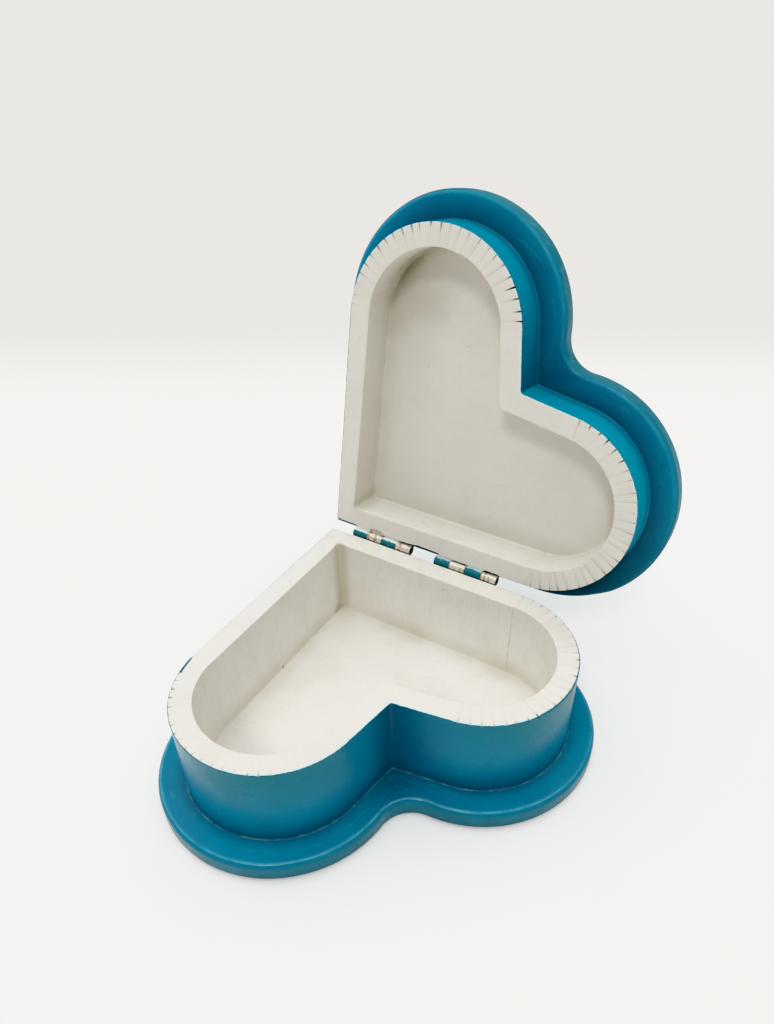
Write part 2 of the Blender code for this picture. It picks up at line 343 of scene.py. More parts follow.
TEAL = (0.0, 0.24, 0.385)
TEAL_DEEP = (0.0, 0.195, 0.34)
# Painted shade: TEAL_NAVY is the navy in the crevices beside the walls, low on the walls and round
# the cleft.
TEAL_NAVY = (0.0, 0.055, 0.13)
TEAL_RUBBED = (0.03, 0.28, 0.38)
# Painted sheen and light: TEAL_PAINTED_SHEEN turns the base walls' teal greener and greyer towards
# the rim as sheen, TEAL_PAINTED_LIGHT lightens the lid walls' teal towards the rim as light.
TEAL_PAINTED_SHEEN = (0.0, 0.182, 0.24)
TEAL_PAINTED_LIGHT = (0.0, 0.335, 0.48)
# Painted shade: TEAL_LINE and TEAL_SOFT_EDGE_SHADE darken the teal just under the rim's outer edge
# into a dark line.
TEAL_LINE = (0.008, 0.032, 0.05)
TEAL_SOFT_EDGE_SHADE = (0.03, 0.15, 0.175)
# Painted highlight: TEAL_EDGE and TEAL_EDGE_PALE light the boards' rounded edges; TEAL_EDGE is also
# laid as brush marks on the overhang.
TEAL_EDGE = (0.085, 0.47, 0.56)
TEAL_EDGE_PALE = (0.19, 0.6, 0.68)
# Painted light and shade: TEAL_SIDE is the base board's steep side painted darker than its top,
# TEAL_EDGE_GREY the lid board's side where it looks up, TEAL_SIDE_DARK where it doesn't.
TEAL_EDGE_GREY = (0.022, 0.215, 0.27)
TEAL_SIDE = (0.002, 0.17, 0.245)
TEAL_SIDE_DARK = (0.0, 0.14, 0.225)
TEAL_FOOT = (0.022, 0.11, 0.14)
# Painted shadow: FOOT_DARK is laid along the base board's foot and on the lid board's edge nearest
# the hinges.
FOOT_DARK = (0.004, 0.03, 0.042)
# PALE_SEAM is a pale teal for fine specks, and painted highlight along the walls' outer foot and on
# the boards' rounded edges.
PALE_SEAM = (0.15, 0.39, 0.46)
# Painted highlight: PALE_EDGE is the pale line along the rims' outer edge.
PALE_EDGE = (0.66, 0.88, 0.91)
CREAM = (0.825, 0.805, 0.745)
# Painted light: CREAM_BASE is the cream painted paler as more light on the base and inside the
# lid's hinge-side strip, CREAM_FLOOR the same on the base's floor.
CREAM_BASE = (0.885, 0.868, 0.815)
CREAM_SHADE = (0.725, 0.7, 0.625)
CREAM_FLOOR = (0.905, 0.892, 0.868)
CREAM_ROUGHNESS = 0.58
STAIN = (0.48, 0.425, 0.27)
# Painted shade: OLIVE_SHADE is the olive shade inside the lid's left lobe.
OLIVE_SHADE = (0.36, 0.325, 0.225)
FLECK_BROWN = (0.2, 0.17, 0.12)
SPECK_BROWN = (0.16, 0.135, 0.095)
# Painted shade: KERF_DARK is the near black of the kerfs' open wedges.
KERF_DARK = (0.045, 0.058, 0.062)
KERF_DUST = (0.3, 0.275, 0.22)
PAINT_SKIN = 0.00006            # how tall the paint's brush ridges stand, in metres
# Painted reflection: BRASS_PALE_REFLECTION is the knuckles' brass painted pale as the white
# surroundings it reflects. Painted shade: BRASS_END_SHADE darkens the hinges' ends, the inside of
# the roll and the lips.
BRASS_PALE_REFLECTION = (0.95, 0.9, 0.8)
BRASS_STREAK = (0.86, 0.77, 0.61)
BRASS_FLAT = (0.79, 0.62, 0.36)
BRASS_BROWN = (0.25, 0.15, 0.075)
BRASS_END_SHADE = (0.012, 0.014, 0.018)
BRASS_CHIP = (0.66, 0.5, 0.28)
# Painted shade: KNUCKLE_UNDER darkens the painted knuckles underneath, KNUCKLE_END at their ends.
KNUCKLE_UNDER = (0.006, 0.085, 0.105)
KNUCKLE_END = (0.004, 0.045, 0.055)


def teal_colour(mix, crevice):
    """Brushed teal: broad uneven cover, navy painted as shade in the crevices and streaks brushed
    thin.
    """
    streak = mix.mottle(0.0032, 0.52, 0.8, stretch=(1.0, 1.0, 2.2), detail=5.0)
    speck = mix.mottle(0.0009, 0.7, 0.76, detail=2.0)
    return mix.coats(TEAL, (mix.mottle(0.024, 0.36, 0.66), TEAL_DEEP), (crevice, TEAL_NAVY),
                     (streak, 0.25, TEAL_RUBBED), (speck, 0.22, PALE_SEAM))


def cream_colour(mix, paint=CREAM):
    """Matt cream: faint warm patches, a fine brushed mottle and a few dark specks."""
    patch = mix.mottle(0.02, 0.38, 0.72)
    fleck = mix.mottle(0.0016, 0.38, 0.76, detail=6.0, roughness=0.7)
    speck = mix.mottle(0.0016, 0.765, 0.785, detail=2.0)
    share = mix.add(mix.times(patch, 0.28), mix.times(fleck, 0.24))
    return mix.coats(paint, (share, CREAM_SHADE), (speck, 0.5, FLECK_BROWN))


def flaw(mix, centre, radius):
    """Share of a soft dark spot round a point: 1 in the middle, nothing at the radius."""
    away = mix.vector("DISTANCE", mix.place, centre, 1)
    return mix.ease(away, radius * 0.3, radius, 1.0, 0.0)


def junction_stain(mix, distance):
    """Yellow-brown dirt: a thin line in the joint and a soft tint for some millimetres out."""
    line = mix.ease(distance, 0.0, 0.001, 0.45, 0.0)
    tint = mix.ease(distance, 0.0, 0.009, 0.3, 0.0)
    return mix.times(mix.most(line, tint), mix.mottle(0.016, 0.3, 0.7, 0.35, 1.0))


def left_shaded(mix, size):
    """Share of painted shade, from grime where the piece has it, smudged in clouds about size
    across.
    """
    return mix.times(mix.read("grime"), mix.mottle(size, 0.3, 0.62, 0.7, 1.0, detail=4.0))


def paint_relief(mix, teal_share):
    """Height of the paint skin: brush ridges, stronger in the teal, over a fine orange peel."""
    ridge = mix.grain(0.0016, (1.0, 1.0, 2.6), 4.0)
    weight = mix.add(mix.times(teal_share, 0.3), 0.4)
    return mix.add(mix.times(ridge, weight), mix.times(mix.grain(0.0007, detail=2.0), 0.25))


def wall_paint():
    """Teal on the outer face and cream on the rim and inside.

    The map runs along the strip and round its section from the outer rim corner, so the teal
    ends where the second coordinate passes the overrun of the brush. Rise is the height above
    the strip's foot, inset the distance in from the outer face, wash the share of navy painted
    as shade low on the outer face and at the cleft, high the share of teal painted lighter
    towards the rim as sheen and light, and lit 1 on the lid, where that painted light is
    brightest. The share coat is the cream painted paler as more light, on the base and on the
    inner face of the lid's hinge-side strip; block is a tone for each block between kerfs,
    rimline the painted highlight along the rim's outer edge and outer_joint the pale line at
    the outer foot, painted as the fillet's highlight. Groove, score and kerf are the sunken
    paint, the thin line and the open wedge of a saw cut; the groove and the wedge are darkened
    as painted shade, and so is a dark line in the teal just under the rim's outer edge.
    """
    mix = Mix("wall_paint")
    strip = mix.put("UVMap", {}, uv_map="surface")
    along, around = [mix.put("SeparateXYZ", {0: strip}, axis) for axis in (0, 1)]
    lit = mix.read("lit")
    inside = mix.ease(mix.read("inset"), 0.0065, 0.0073)
    ragged = mix.times(mix.less(mix.grain(0.0014, detail=4.0), 0.5), 0.0004)
    teal_share = mix.ease(mix.less(mix.add(mix.read("overrun"), ragged), around), -0.00003, 0.00003)
    # Stain and painted shade: the inner corner at the tip is darkened in the stain's colour, less
    # on the lid.
    tip_stain_and_shade = mix.times(mix.ease(along, 0.0, 0.006, 1.0, 0.0),
                         mix.less(0.55, mix.times(lit, 0.22)), inside)
    foot_tint = mix.times(junction_stain(mix, mix.read("rise")),
                          mix.less(1.0, mix.times(lit, 0.65)), inside)
    streaks = mix.put("CombineXYZ", {0: along, 1: mix.times(around, 0.06)})
    drawn = mix.mottle(0.0011, 0.46, 0.78, detail=4.0, place=streaks)
    # Painted highlight: a pale line along the rim's outer edge.
    rim_line = mix.times(mix.ease(around, 0.0003, 0.0009, 0.95, 0.0), mix.read("rimline"))
    cream = mix.coats(
        # Painted light: coat picks the paler cream where more light is painted.
        cream_colour(mix, mix.blend(mix.read("lighter_cream"), CREAM, CREAM_BASE)),
        (drawn, 0.28, CREAM_SHADE),
        (mix.most(tip_stain_and_shade, foot_tint), STAIN),
        (flaw(mix, KNOT, 0.0034), 0.6, STAIN),
        (flaw(mix, SPECK, 0.001), 0.48, SPECK_BROWN),
        (mix.read("block"), 0.25, CREAM_SHADE),
        (rim_line, PALE_EDGE),
        # Painted shade inside the lid's left strip.
        (left_shaded(mix, 0.008), OLIVE_SHADE),
        # Painted shade: the groove sunk into each kerf is darkened.
        (mix.read("groove"), 0.4, CREAM_SHADE))
    # Painted shade: the line under the rim's outer edge is darkest on the lid away from its tip.
    deep_edge_shade = mix.times(lit, mix.ease(along, 0.0086, 0.0094))
    foot_patches = mix.mottle(0.003, 0.4, 0.64, 0.2, 0.85, detail=5.0)
    teal = mix.coats(
        # Painted shade: wash lays navy low on the outer face and round the cleft.
        teal_colour(mix, mix.read("crevice_shade")),
        # Painted sheen and light: high lightens the teal towards the rim, brightest on the lid.
        (mix.read("high"), mix.blend(lit, TEAL_PAINTED_SHEEN, TEAL_PAINTED_LIGHT)),
        (mix.ease(around, -0.0004, 0.00005), mix.blend(deep_edge_shade, TEAL_SOFT_EDGE_SHADE, TEAL_LINE)),
        # Painted highlight: a pale line along the outer foot, where the fillet catches the light.
        (mix.read("outer_joint"), foot_patches, PALE_SEAM))
    colour = mix.coats(
        cream, (teal_share, teal), (mix.read("score"), KERF_DUST),
        # Painted shade: the open wedge of each kerf is darkened near black.
        (mix.ease(mix.read("kerf"), 0.04, 0.75), KERF_DARK))
    gloss = mix.mottle(0.01, 0.3, 0.7, 0.22, 0.33, detail=4.0)
    return mix.finish({"Base Color": colour, "Specular IOR Level": 0.38,
                       "Roughness": mix.between(teal_share, CREAM_ROUGHNESS, gloss)},
                      paint_relief(mix, teal_share), PAINT_SKIN)


def board_paint():
    """Teal board with a cream patch where the walls shut it in.

    Depth is the distance inward from the walls' outer face, and the colours change under the
    middle of the wall. Walled is 1 on the face where the walls stand, and pale 1 on the base,
    whose cream is painted paler as more light. On the rounded edge, upright is 1 where it is
    steep and takes the side's own teal, painted darker than the top as shade, edge where it
    turns over and a highlight is painted on it, and skyward where the open lid's edge looks up
    and its side is painted lighter as light from above. Low darkens the base's foot towards the
    bottom, and shade is painted shadow along the base's foot and on the part of the lid's edge
    that is nearest the hinges. Corner is dirt and painted shade at the tip, spread wide over the
    base's far floor, grime the painted shade in the lid's left lobe, and wash the navy painted as
    shade beside the walls and at the cleft.
    """
    mix = Mix("board_paint")
    depth, walled, pale = [mix.read(label) for label in ("depth", "walled", "pale")]
    upright, skyward, edge = [mix.read(label) for label in ("upright", "skyward", "edge")]
    cream_share = mix.times(mix.ease(depth, WALL * 0.45, WALL * 0.55), walled)
    # Dirt and painted shade: corner adds the tip's darkening to the joint's stain.
    stain = mix.most(junction_stain(mix, mix.less(depth, WALL)), mix.read("corner"))
    # Painted light: the base's floor takes the paler CREAM_FLOOR.
    cream = mix.coats(cream_colour(mix), (pale, cream_colour(mix, CREAM_FLOOR)), (stain, STAIN),
                      # Painted shade in the lid's left lobe.
                      (left_shaded(mix, 0.009), OLIVE_SHADE))
    along_edge = mix.vector("MULTIPLY", mix.place, (0.11, 0.11, 0.11))
    brush = mix.vector("ADD", along_edge, mix.put("CombineXYZ", {0: depth}))
    patchy = mix.mottle(0.013, 0.42, 0.68, 0.15, 1.0, detail=2.0)
    marks = mix.times(mix.mottle(0.0009, 0.5, 0.75, detail=5.0, place=brush), patchy,
                      mix.ease(depth, -0.0065, -0.0005, 0.46, 0.1))
    strokes = mix.mottle(0.0017, 0.46, 0.74, 0.0, 0.42, stretch=(0.09, 1.0, 1.0), detail=4.0)
    dull = mix.mottle(0.007, 0.32, 0.68, 0.6, 1.0, detail=5.0)
    # Painted light and shade: the side's own teal, darker on the base, and on the lid lighter where
    # it looks up.
    side = mix.blend(pale, mix.blend(skyward, TEAL_SIDE_DARK, TEAL_EDGE_GREY), TEAL_SIDE)
    # Painted highlight: a pale band on the rounded edge, full on the base and on the lid only where
    # its edge looks up; the pale streaks below are laid on the same parts.
    highlight_share = mix.mottle(0.004, 0.3, 0.65, 0.25, 0.7, detail=4.0)
    crisp = mix.most(pale, mix.times(skyward, 0.55))
    highlight_streaks = mix.mottle(0.0006, 0.54, 0.66, detail=5.0, place=brush)
    streaked_where = mix.most(mix.times(upright, skyward), edge)
    foot_patches = mix.times(mix.read("low"), mix.mottle(0.006, 0.36, 0.66, detail=5.0))
    teal = mix.coats(
        # Painted shade: wash lays navy beside the walls and round the cleft.
        teal_colour(mix, mix.read("crevice_shade")),
        (marks, TEAL_EDGE),
        (strokes, mix.less(1.0, walled), TEAL_RUBBED),
        (upright, dull, side),
        (edge, highlight_share, crisp, mix.blend(pale, TEAL_EDGE, TEAL_EDGE_PALE)),
        (highlight_streaks, streaked_where, mix.ease(patchy, 0.15, 1.0, 0.15, 0.6), PALE_SEAM),
        (foot_patches, 0.75, TEAL_FOOT),
        # Painted shadow at the base's foot and on the lid's edge by the hinges.
        (mix.read("shade"), FOOT_DARK))
    gloss = mix.add(mix.mottle(0.01, 0.3, 0.7, 0.2, 0.32, detail=4.0),
                    mix.ease(pale, 0.0, 1.0, 0.16, 0.0))
    return mix.finish({"Base Color": mix.blend(cream_share, teal, cream),
                       "Roughness": mix.between(cream_share, gloss, CREAM_ROUGHNESS),
                       "Specular IOR Level": 0.34},
                      paint_relief(mix, mix.less(1.0, cream_share)), PAINT_SKIN)


def hinge_brass():
    """Bare brass, painted pale on the knuckles as a reflection of the white surroundings, with
    drawn streaks, brown patches and bands, stronger low on the barrel, and ends darkened as
    painted shade.

    The end attribute sets that painted shade, and burn marks the brown bands along the barrel.
    """
    mix = Mix("hinge_brass")
    end = mix.read("end")
    streak = mix.grain(0.0006, (0.25, 1.0, 1.0), 4.0)
    burnt = mix.add(mix.grain(0.0013, detail=4.0), mix.times(mix.read("burn"), 0.22))
    across = mix.vector("MULTIPLY", mix.place, (0.0, 1.0, 1.0))
    off_axis = mix.vector("DISTANCE", across, (0.0, PIN[1], PIN[2]), 1)
    flat = mix.ease(off_axis, 0.0038, 0.0052)
    height = mix.put("SeparateXYZ", {0: mix.place}, 2)
    under = mix.times(mix.ease(height, PIN[2] - 0.0014, PIN[2] + 0.001, 0.9, 0.6),
                      mix.less(1.0, mix.times(flat, 0.55)))
    # Painted reflection and shade: pale brass on the knuckles, near black where end is set.
    colour = mix.coats(
        BRASS_PALE_REFLECTION, (mix.ease(streak, 0.35, 0.7), BRASS_STREAK), (flat, 0.85, BRASS_FLAT),
        (mix.ease(burnt, 0.52, 0.68), under, BRASS_BROWN), (end, BRASS_END_SHADE))
    return mix.finish({"Base Color": colour, "Metallic": mix.ease(end, 0.2, 0.8, 0.6, 0.0),
                       "Roughness": mix.ease(streak, 0.3, 0.75, 0.36, 0.52)}, streak, 0.00004)


def painted_brass(label, teal, strip, highlight_from):
    """Teal brushed over brass and chipped to metal, with a pale strip painted along the top of
    the barrel as its highlight, and painted shade underneath and at the ends.

    highlight_from is how far out towards its upper back edge the painted highlight starts, in
    metres.
    """
    mix = Mix(f"painted_brass_{label}")
    apart = [mix.less(mix.put("SeparateXYZ", {0: mix.place}, axis), PIN[axis]) for axis in (2, 1)]
    lean = mix.add(mix.times(apart[0], 0.72), mix.times(apart[1], 0.69))
    ragged = mix.times(mix.less(mix.grain(0.0012, (0.4, 1.0, 1.0), 4.0), 0.5), 0.0012)
    highlight_share = mix.ease(mix.add(lean, ragged), highlight_from - 0.0002, highlight_from + 0.0003)
    chip = mix.mottle(0.0011, 0.66, 0.7, detail=5.0)
    # Painted shade underneath and at the ends, painted highlight in the pale strip along the top.
    colour = mix.coats(
        teal, (mix.ease(lean, -0.0015, 0.0002, 0.75, 0.0), KNUCKLE_UNDER), (highlight_share, strip),
        (mix.read("end"), 0.7, KNUCKLE_END), (chip, BRASS_CHIP))
    return mix.finish({"Base Color": colour, "Metallic": chip,
                       "Roughness": mix.mottle(0.001, 0.3, 0.7, 0.24, 0.4)},
                      mix.grain(0.0009, (0.4, 1.0, 1.0), 4.0), 0.00005)


def pin_steel():
    """Steel of the hinge pins, coloured near black as painted shade inside the barrels, with a
    little bare metal showing through.
    """
    mix = Mix("pin_steel")
    bare = mix.mottle(0.0007, 0.6, 0.75, detail=4.0)
    return mix.finish({"Base Color": mix.blend(bare, (0.02, 0.02, 0.022), (0.12, 0.11, 0.1)),
                       "Metallic": mix.ease(bare, 0.0, 1.0, 0.0, 0.8), "Roughness": 0.6},
                      mix.grain(0.0004), 0.00003)


def nail_steel():
    """Dull steel with a fine rough skin and brown spots."""
    mix = Mix("nail_steel")
    spot = mix.mottle(0.0008, 0.52, 0.7, detail=4.0)
    return mix.finish({"Base Color": mix.coats((0.45, 0.42, 0.38), (spot, 0.7, (0.13, 0.08, 0.05))),
                       "Metallic": 1.0, "Roughness": mix.ease(spot, 0.0, 1.0, 0.32, 0.6)},
                      mix.grain(0.0004), 0.00003)


# ---------------------------------------------------------------- heart outlines

def mirrored(x, y):
    """Reflect places in the heart's diagonal, the line y = -x."""
    return -y, -x


def arc(hub_x, hub_y, radius, turn):
    return hub_x + radius * np.cos(turn), hub_y + radius * np.sin(turn)


def joined(station, *runs):
    """Places along runs joined end to end: the first for stations 0-1, the second for 1-2, etc."""
    which = [station < 1.0, station < 2.0, station <= 3.0, station <= 4.0][:len(runs) - 1]
    return [np.select(which, [part + 0.0 * station for part in parts[:-1]], parts[-1])
            for parts in zip(*runs)]


def strip_place(station, inset):
    """Place on the hinge-side strip's outline, moved in by inset.

    Station 0-1 is the half arc round the tip's corner, 1-2 the straight side, 2-3 the lobe's arc,
    3-4 its tangent, which the flare turns towards the diagonal, and 4-5 the half arc round the
    cleft's corner. A corner's radius goes evenly from its outer to its inner value.
    """
    tip_radius, cleft_radius = [outer + (inner - outer) * unit(inset / WALL)
                                for outer, inner in (TIP_ROUNDING, CLEFT_ROUNDING)]
    part = [unit(station - i) for i in range(5)]
    tip_x, side_y = TIP_X + inset + tip_radius, TIP_Y - inset
    corner = arc(tip_x, side_y - tip_radius, tip_radius, math.pi * (0.75 - 0.25 * part[0]))
    side = (tip_x + (LOBE_X - tip_x) * part[1], side_y)
    lobe = arc(LOBE_X, LOBE_Y, LOBE_RADIUS - inset, math.pi / 2.0 - LOBE_SWEEP * part[2])
    end = math.pi / 2.0 - LOBE_SWEEP
    ahead_x, ahead_y = math.sin(end), -math.cos(end)
    start_x, start_y = arc(LOBE_X, LOBE_Y, LOBE_RADIUS - inset, end)
    half_turn = math.pi / 4.0 - FLARE
    run = -(start_x + start_y) / (ahead_x + ahead_y) - cleft_radius * math.tan(half_turn)
    flared = (start_x + ahead_x * run * part[3], start_y + ahead_y * run * part[3])
    cleft = arc(start_x + ahead_x * run - ahead_y * cleft_radius,
                start_y + ahead_y * run + ahead_x * cleft_radius,
                cleft_radius, math.pi / 2.0 + FLARE + half_turn * part[4])
    return joined(station, corner, side, lobe, flared, cleft)


def board_place(station, inset):
    """Place on the hinge-side half of a board's edge, moved in by inset.

    Station 0-1 is the half arc round the tip, 1-2 the straight side, 2-3 the lobe's arc, which
    has the wall lobe's centre, and 3-4 the half arc of the hollow that touches both lobes.
    """
    over = OVERHANG - inset
    tip_radius = BOARD_TIP_RADIUS - inset
    lobe_radius = LOBE_RADIUS + over
    hollow_radius = BOARD_CLEFT_RADIUS + inset
    part = [unit(station - i) for i in range(4)]
    tip_x, tip_y = TIP_X - over + tip_radius, TIP_Y + over - tip_radius
    tip = arc(tip_x, tip_y, tip_radius, math.pi * (0.75 - 0.25 * part[0]))
    side = (tip_x + (LOBE_X - tip_x) * part[1], TIP_Y + over)
    along, across = (LOBE_X - LOBE_Y) / 2.0, (LOBE_X + LOBE_Y) / 2.0
    hub = along + np.sqrt(((lobe_radius + hollow_radius) ** 2 - 2.0 * across ** 2) / 2.0)
    touch = np.arctan2(-hub - LOBE_Y, hub - LOBE_X)
    lobe = arc(LOBE_X, LOBE_Y, lobe_radius, math.pi / 2.0 + (touch - math.pi / 2.0) * part[2])
    turn = touch + math.pi + (math.radians(135.0) - touch - math.pi) * part[3]
    return joined(station, tip, side, lobe, arc(hub, -hub, hollow_radius, turn))


def wall_depth(x, y):
    """Distance inward from the walls' outer face.

    Each half of the heart is a lobe's disc between its two tangents: inside the arc's angles the
    depth is radius less distance from the lobe's centre, and elsewhere the nearer tangent's.
    """
    far_side = x + y < 0.0
    x, y = np.where(far_side, -y, x) - LOBE_X, np.where(far_side, -x, y) - LOBE_Y
    end = math.pi / 2.0 - LOBE_SWEEP
    angle = np.arctan2(y, x)
    in_arc = (angle > end) & (angle < math.pi / 2.0)
    tangent = np.maximum(y, x * math.cos(end) + y * math.sin(end))
    return LOBE_RADIUS - np.where(in_arc, np.hypot(x, y), tangent)


# ---------------------------------------------------------------- boards

def board_section(foot, top):
    """Rows of a board as (share of the way out from the middle, inset, height), bottom to top.

    The flat faces run out from the middle, and each edge is a quarter arc of radius foot or top.
    """
    turn = spread(0.0, math.pi / 2.0, ARC_ROWS)
    out = chained(spread(0.0, 0.94, 30), spread(0.94, 1.0, 5))
    side_top = BOARD_HEIGHT - top
    return section((out, foot, 0.0),
                   (1.0, foot * (1.0 - np.sin(turn)), foot * (1.0 - np.cos(turn))),
                   (1.0, 0.0, spread(foot, side_top, 4)),
                   (1.0, top * (1.0 - np.cos(turn)), side_top + top * np.sin(turn)),
                   (out[::-1], top, BOARD_HEIGHT))


def board_shape(floor, lid):
    """Grid of a closed board: its section carried round the outline, its edge a little uneven."""
    half = chained(spread(0.0, 1.0, 9), spread(1.0, 2.0, 41), spread(2.0, 3.0, 97),
                   spread(3.0, 4.0, 21))
    rounding = (BOARD_FOOT_ROUNDING, BOARD_TOP_ROUNDING)
    out, inset, height = [rows[:, None] for rows in
                          board_section(*(rounding[::-1] if lid else rounding))]
    x, y = board_place(half, inset)
    other_x, other_y = mirrored(x[:, -2:0:-1], y[:, -2:0:-1])
    x, y = np.hstack([x, other_x]) * out, np.hstack([y, other_y]) * out
    sag = 0.00006 * ripple(x, y, floor + height, 0.045) * unit((out - 0.9) * 10.0)
    return placed(x + sag * np.sign(x), y + sag * np.sign(y), floor + height)


def board_marks(points, floor, lid):
    """How a board's paint varies from point to point, as the attributes of board_paint.

    Stains fall off from the joint with the wall, and dirt with painted shade from the tip; navy
    painted as shade falls off from the joint and from the cleft. The lid's grime is painted
    shade in the bay of its left lobe, and shade is painted shadow at the base's foot and on the
    lid's edge nearest the hinges.
    """
    x, y, z = points.T
    depth, level = wall_depth(x, y), (z - floor) / BOARD_HEIGHT
    walled = (level < 0.1 if lid else level > 0.9) * 1.0
    to_tip = np.hypot(x - TIP_X - WALL, y - TIP_Y + WALL)
    to_cleft = np.hypot(x - CLEFT_X, y + CLEFT_X)
    reach, strength = (0.008, 0.85) if lid else (0.0035, 0.55)
    # Painted shade: navy beside the walls and round the cleft, kept to the face the walls stand on.
    crevice_shade = np.maximum(strength * unit(1.0 + depth / reach), 0.8 * bell(to_cleft, 0.0, 0.015))
    if lid:
        # Dirt and painted shade in the tip's corner.
        corner = 0.22 * np.exp(-to_tip / 0.007)
        round_lobe = np.degrees(np.arctan2(-y - LOBE_X, -x - LOBE_Y))
        # Painted shade: bay and dusk darken the lid's left lobe beside the wall and further out.
        bay = 0.8 * bell(depth, WALL, 0.0032) + 0.36 * bell(depth, WALL, 0.014)
        dusk = 0.44 * bell(round_lobe, 25.0, 60.0) * bell(depth, WALL, 0.024)
        grime = np.maximum(bell(round_lobe, 38.0, 34.0) * bay, dusk)
        low = 0.0 * depth
        # Painted shadow: shade darkens the lid board's inner face and side towards the hinges.
        hingeward = (y - LOBE_Y) / (LOBE_RADIUS + OVERHANG / 2.0)
        shade = np.clip(0.2 + 0.55 * hingeward, 0.0, 0.8) * unit((0.8 - level) / 0.3)
    else:
        # Dirt and painted shade: the first term darkens the tip's corner, the second spreads
        # painted shade over the far floor.
        corner = 0.34 * np.exp(-to_tip / 0.007) + 0.13 * np.exp(-to_tip / 0.035)
        grime = 0.0 * depth
        low = unit(1.15 - level * 1.5) * (depth < 0.003 - OVERHANG)
        # Painted shadow: a dark line along the base's foot, full below 1 mm and gone at 3 mm.
        shade = 0.6 * unit((0.003 - level * BOARD_HEIGHT) / 0.002) * (low > 0.0)
    return {"depth": depth, "walled": walled, "crevice_shade": crevice_shade * walled, "corner": corner,
            "grime": grime, "low": low, "shade": shade, "pale": 1.0 - lid + 0.0 * depth}


def edge_marks(grid, lid):
    """How a board's rounded edge is painted: by row over its arcs, and round the lid's outline.

    Edge, where a highlight is painted, peaks where the rounding beside the walls tilts 26
    degrees, upright rises from 30 to 70 degrees, and skyward, where the lid's side is painted
    lighter as light from above, grows as the outline turns towards -X, which is up on the open
    lid.
    """
    tilt, upright = np.full(len(grid), 90.0), np.zeros(len(grid))
    start = FIRST_ARC if lid else SECOND_ARC
    tilt[start:start + ARC_ROWS] = spread(0.0, 90.0, ARC_ROWS)[::1 if lid else -1]
    edge = unit(1.0 - np.abs(tilt - 26.0) / (26.0 if lid else 14.0))
    steep = unit((spread(0.0, 90.0, ARC_ROWS) - 30.0) / 40.0)
    upright[FIRST_ARC:SECOND_ARC + ARC_ROWS] = np.concatenate([steep, [1.0, 1.0], steep[::-1]])
    ahead = np.roll(grid[SECOND_ARC], -1, 0) - np.roll(grid[SECOND_ARC], 1, 0)
    skyward = unit(0.25 - 1.1 * ahead[:, 0] / np.hypot(ahead[:, 0], ahead[:, 1])) * lid
    marks = {"edge": edge[:, None], "upright": upright[:, None], "skyward": skyward}
    return {label: np.append(np.broadcast_to(mark, grid.shape[:2])[1:-1], [0.0, 0.0])
            for label, mark in marks.items()}


def make_board(body, floor, material):
    """A heart board, closed on the middle points of its two faces.

    The lid's edge at the hinges is planed back a little.
    """
    lid, node = body == "lid", f"{body}_board"
    grid = board_shape(floor, lid)
    points, faces = closed_rings(grid, 1, 1)
    marks = {**board_marks(points, floor, lid), **edge_marks(grid, lid)}
    if lid:
        points[:, 1] -= HINGE_EDGE_PLANED * unit((points[:, 1] - TIP_Y + 0.001) / 0.004)
        points = opened(points)
    piece = make_piece(f"{node}_painted", points, faces, material, **marks)
    stand_for(piece, body, "teal_painted_wood", node)


def make_boards():
    paint = board_paint()
    make_board("base", 0.0, paint)
    make_board("lid", LID_RIM + LID_WALL_HEIGHT, paint)


# ---------------------------------------------------------------- walls

def wall_section(height):
    """Rows round a strip's section as (inset, height, distance round from the outer rim corner).

    From the outer foot: a hollow fillet, the outer face, a rounded rim edge, the rim, the inner
    rim edge, the inner face and the inner fillet. The underside closes the loop.
    """
    turn = spread(0.0, math.pi / 2.0, 6)
    edge, fillet = RIM_ROUNDING, FOOT_FILLET
    foot = (-fillet * (1.0 - np.sin(turn)), fillet * (1.0 - np.cos(turn)))
    outer = chained(spread(fillet, fillet + 0.0004, 3), spread(fillet + 0.0004, height - 0.002, 7),
                    spread(height - 0.002, height - edge, 8))
    outer_edge = (edge * (1.0 - np.cos(turn)), height - edge + edge * np.sin(turn))
    rim = chained(spread(edge, 0.0024, 11), spread(0.0024, WALL - edge, 8))
    inset, level = section(
        foot, (0.0, outer), outer_edge, (rim, height),
        (WALL - outer_edge[0][::-1], outer_edge[1][::-1]),
        (WALL, spread(height - edge, fillet, 12)), (WALL - foot[0][::-1], foot[1][::-1]))
    around = distance_along(inset, level)
    corner = np.argmin(np.abs(inset - edge * 0.3) + np.abs(level - height + edge * 0.3))
    return inset[:, None], level[:, None], (around - around[corner])[:, None]


